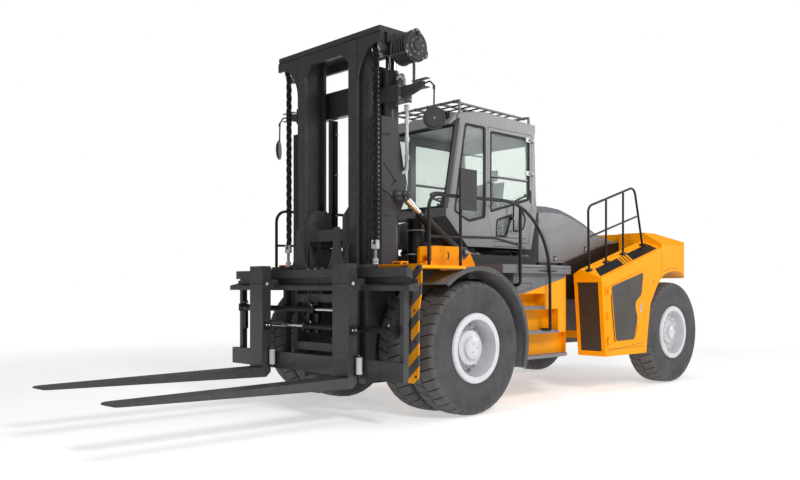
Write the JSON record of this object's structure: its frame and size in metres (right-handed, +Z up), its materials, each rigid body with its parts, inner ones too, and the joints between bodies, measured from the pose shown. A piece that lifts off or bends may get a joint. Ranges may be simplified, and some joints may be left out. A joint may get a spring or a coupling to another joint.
{
  "type": "forklift truck",
  "caption": "Heavy counterbalance forklift truck with a two-stage mast, shifting forks, twin front wheels, a high cab and a sloping rear hood.",
  "frame": {"origin": "ground level under the middle of the truck, from fork tips to counterweight", "axes": "-Y is forwards (fork tips), +X is the truck's left, +Z is up"},
  "size_m": [3.276, 9.325, 4.24],
  "materials": {
    "yellow_paint": "satin",
    "grey_paint": "satin",
    "mast_paint": "satin",
    "rim_paint": "satin",
    "tyre_rubber": "matte",
    "pane": "clear",
    "rod_chrome": "polished",
    "chain_steel": "oiled",
    "axle_iron": "painted",
    "seat_cover": "woven",
    "trim_plastic": "grained"
  },
  "bodies": {
    "chassis": {"chassis_frame": "yellow_paint", "engine": "grey_paint", "counterweight": "yellow_paint", "front_decks": "yellow_paint", "guard_plates": "yellow_paint", "fenders": "yellow_paint", "body_sides": "yellow_paint", "steps": "grey_paint", "cabinets": "yellow_paint", "front_axle": "axle_iron", "steer_axle": "axle_iron", "hood_base": "grey_paint", "air_cleaner": "grey_paint", "front_handrails": "grey_paint", "rear_handrails": "grey_paint", "cab_base": "grey_paint", "cab_frame": "grey_paint", "cab_roof": "grey_paint", "cab_glass": "pane", "seat": "seat_cover", "controls": "trim_plastic", "cab_mirrors": "trim_plastic"},
    "outer_mast": {"outer_rails": "mast_paint", "mast_ties": "mast_paint", "lift_barrels": "mast_paint", "mast_mirrors": "trim_plastic"},
    "inner_mast": {"inner_rails": "mast_paint", "sheaves": "mast_paint", "top_beam": "mast_paint", "lift_rods": "rod_chrome", "hose_reel": "mast_paint"},
    "carriage": {"carriage": "mast_paint", "fork_positioner": "mast_paint", "lift_chains": "chain_steel"},
    "fork_left": {"fork_left": "mast_paint", "positioner_rod_left": "rod_chrome"},
    "fork_right": {"fork_right": "mast_paint", "positioner_rod_right": "rod_chrome"},
    "front_wheel_left": {"front_tyres_left": "tyre_rubber", "front_rims_left": "rim_paint"},
    "front_wheel_right": {"front_tyres_right": "tyre_rubber", "front_rims_right": "rim_paint"},
    "knuckle_left": {"knuckle_left": "axle_iron"},
    "knuckle_right": {"knuckle_right": "axle_iron"},
    "rear_wheel_left": {"rear_tyre_left": "tyre_rubber", "rear_rim_left": "rim_paint"},
    "rear_wheel_right": {"rear_tyre_right": "tyre_rubber", "rear_rim_right": "rim_paint"},
    "hood": {"hood": "grey_paint"},
    "cab_door_left": {"cab_door_left": "grey_paint", "cab_door_glass_left": "pane"},
    "cab_door_right": {"cab_door_right": "grey_paint", "cab_door_glass_right": "pane"},
    "cabinet_door_left": {"cabinet_door_left": "grey_paint"},
    "cabinet_door_right": {"cabinet_door_right": "grey_paint"},
    "tilt_barrel_left": {"tilt_barrel_left": "mast_paint"},
    "tilt_barrel_right": {"tilt_barrel_right": "mast_paint"},
    "tilt_rod_left": {"tilt_rod_left": "rod_chrome"},
    "tilt_rod_right": {"tilt_rod_right": "rod_chrome"}
  },
  "joints": [
    {"name": "mast_tilt", "type": "hinge", "parent": "chassis", "child": "outer_mast", "pos_m": [0, -1.2075, 0.62], "axis": [-1, 0, 0], "range_deg": [-6, 6]},
    {"name": "lift", "type": "slide", "parent": "outer_mast", "child": "inner_mast", "axis": [0, 0, 1], "range_m": [-0.17, 1.58]},
    {"name": "carriage_lift", "type": "slide", "parent": "inner_mast", "child": "carriage", "axis": [0, 0, 1], "range_m": [-0.17, 1.58], "deforming": ["lift_chains"]},
    {"name": "fork_shift_left", "type": "slide", "parent": "carriage", "child": "fork_left", "axis": [1, 0, 0], "range_m": [-0.5, 0.51]},
    {"name": "fork_shift_right", "type": "slide", "parent": "carriage", "child": "fork_right", "axis": [-1, 0, 0], "range_m": [-0.5, 0.51]},
    {"name": "tilt_cylinder_left", "type": "hinge", "parent": "chassis", "child": "tilt_barrel_left", "pos_m": [0.9, -0.4075, 1.83], "axis": [-1, 0, 0], "range_deg": [-6.5, 6.5]},
    {"name": "tilt_stroke_left", "type": "slide", "parent": "tilt_barrel_left", "child": "tilt_rod_left", "axis": [0, -0.8292, 0.559], "range_m": [-0.16, 0.16]},
    {"name": "tilt_cylinder_right", "type": "hinge", "parent": "chassis", "child": "tilt_barrel_right", "pos_m": [-0.9, -0.4075, 1.83], "axis": [-1, 0, 0], "range_deg": [-6.5, 6.5]},
    {"name": "tilt_stroke_right", "type": "slide", "parent": "tilt_barrel_right", "child": "tilt_rod_right", "axis": [0, -0.8292, 0.559], "range_m": [-0.16, 0.16]},
    {"name": "front_wheel_spin_left", "type": "hinge", "parent": "chassis", "child": "front_wheel_left", "pos_m": [1.0725, -0.7375, 0.7475], "axis": [1, 0, 0], "continuous": true},
    {"name": "steer_left", "type": "hinge", "parent": "chassis", "child": "knuckle_left", "pos_m": [0.9, 3.8425, 0.7475], "axis": [0, 0, 1], "range_deg": [-60, 60]},
    {"name": "rear_wheel_spin_left", "type": "hinge", "parent": "knuckle_left", "child": "rear_wheel_left", "pos_m": [1.1975, 3.8425, 0.7475], "axis": [1, 0, 0], "continuous": true},
    {"name": "cab_door_swing_left", "type": "hinge", "parent": "chassis", "child": "cab_door_left", "pos_m": [0.708, 1.3025, 2.7], "axis": [0, 0, 1], "range_deg": [0, 80]},
    {"name": "cabinet_door_swing_left", "type": "hinge", "parent": "chassis", "child": "cabinet_door_left", "pos_m": [1.437, 1.9905, 1], "axis": [0, 0, -1], "range_deg": [0, 100]},
    {"name": "front_wheel_spin_right", "type": "hinge", "parent": "chassis", "child": "front_wheel_right", "pos_m": [-1.0725, -0.7375, 0.7475], "axis": [1, 0, 0], "continuous": true},
    {"name": "steer_right", "type": "hinge", "parent": "chassis", "child": "knuckle_right", "pos_m": [-0.9, 3.8425, 0.7475], "axis": [0, 0, 1], "range_deg": [-60, 60]},
    {"name": "rear_wheel_spin_right", "type": "hinge", "parent": "knuckle_right", "child": "rear_wheel_right", "pos_m": [-1.1975, 3.8425, 0.7475], "axis": [1, 0, 0], "continuous": true},
    {"name": "cab_door_swing_right", "type": "hinge", "parent": "chassis", "child": "cab_door_right", "pos_m": [-0.708, 1.3025, 2.7], "axis": [0, 0, -1], "range_deg": [0, 80]},
    {"name": "cabinet_door_swing_right", "type": "hinge", "parent": "chassis", "child": "cabinet_door_right", "pos_m": [-1.437, 1.9905, 1], "axis": [0, 0, 1], "range_deg": [0, 100]},
    {"name": "hood_swing", "type": "hinge", "parent": "chassis", "child": "hood", "pos_m": [0, 3.5155, 2.094], "axis": [-1, 0, 0], "range_deg": [0, 50]}
  ],
  "couplings": [
    {"joint": "carriage_lift", "follows": "lift", "ratio": 1},
    {"joint": "tilt_cylinder_left", "follows": "mast_tilt", "ratio": 1.02},
    {"joint": "tilt_stroke_left", "follows": "mast_tilt", "m_per_rad": -1.4475},
    {"joint": "tilt_cylinder_right", "follows": "mast_tilt", "ratio": 1.02},
    {"joint": "tilt_stroke_right", "follows": "mast_tilt", "m_per_rad": -1.4475},
    {"joint": "steer_right", "follows": "steer_left", "ratio": 1}
  ]
}
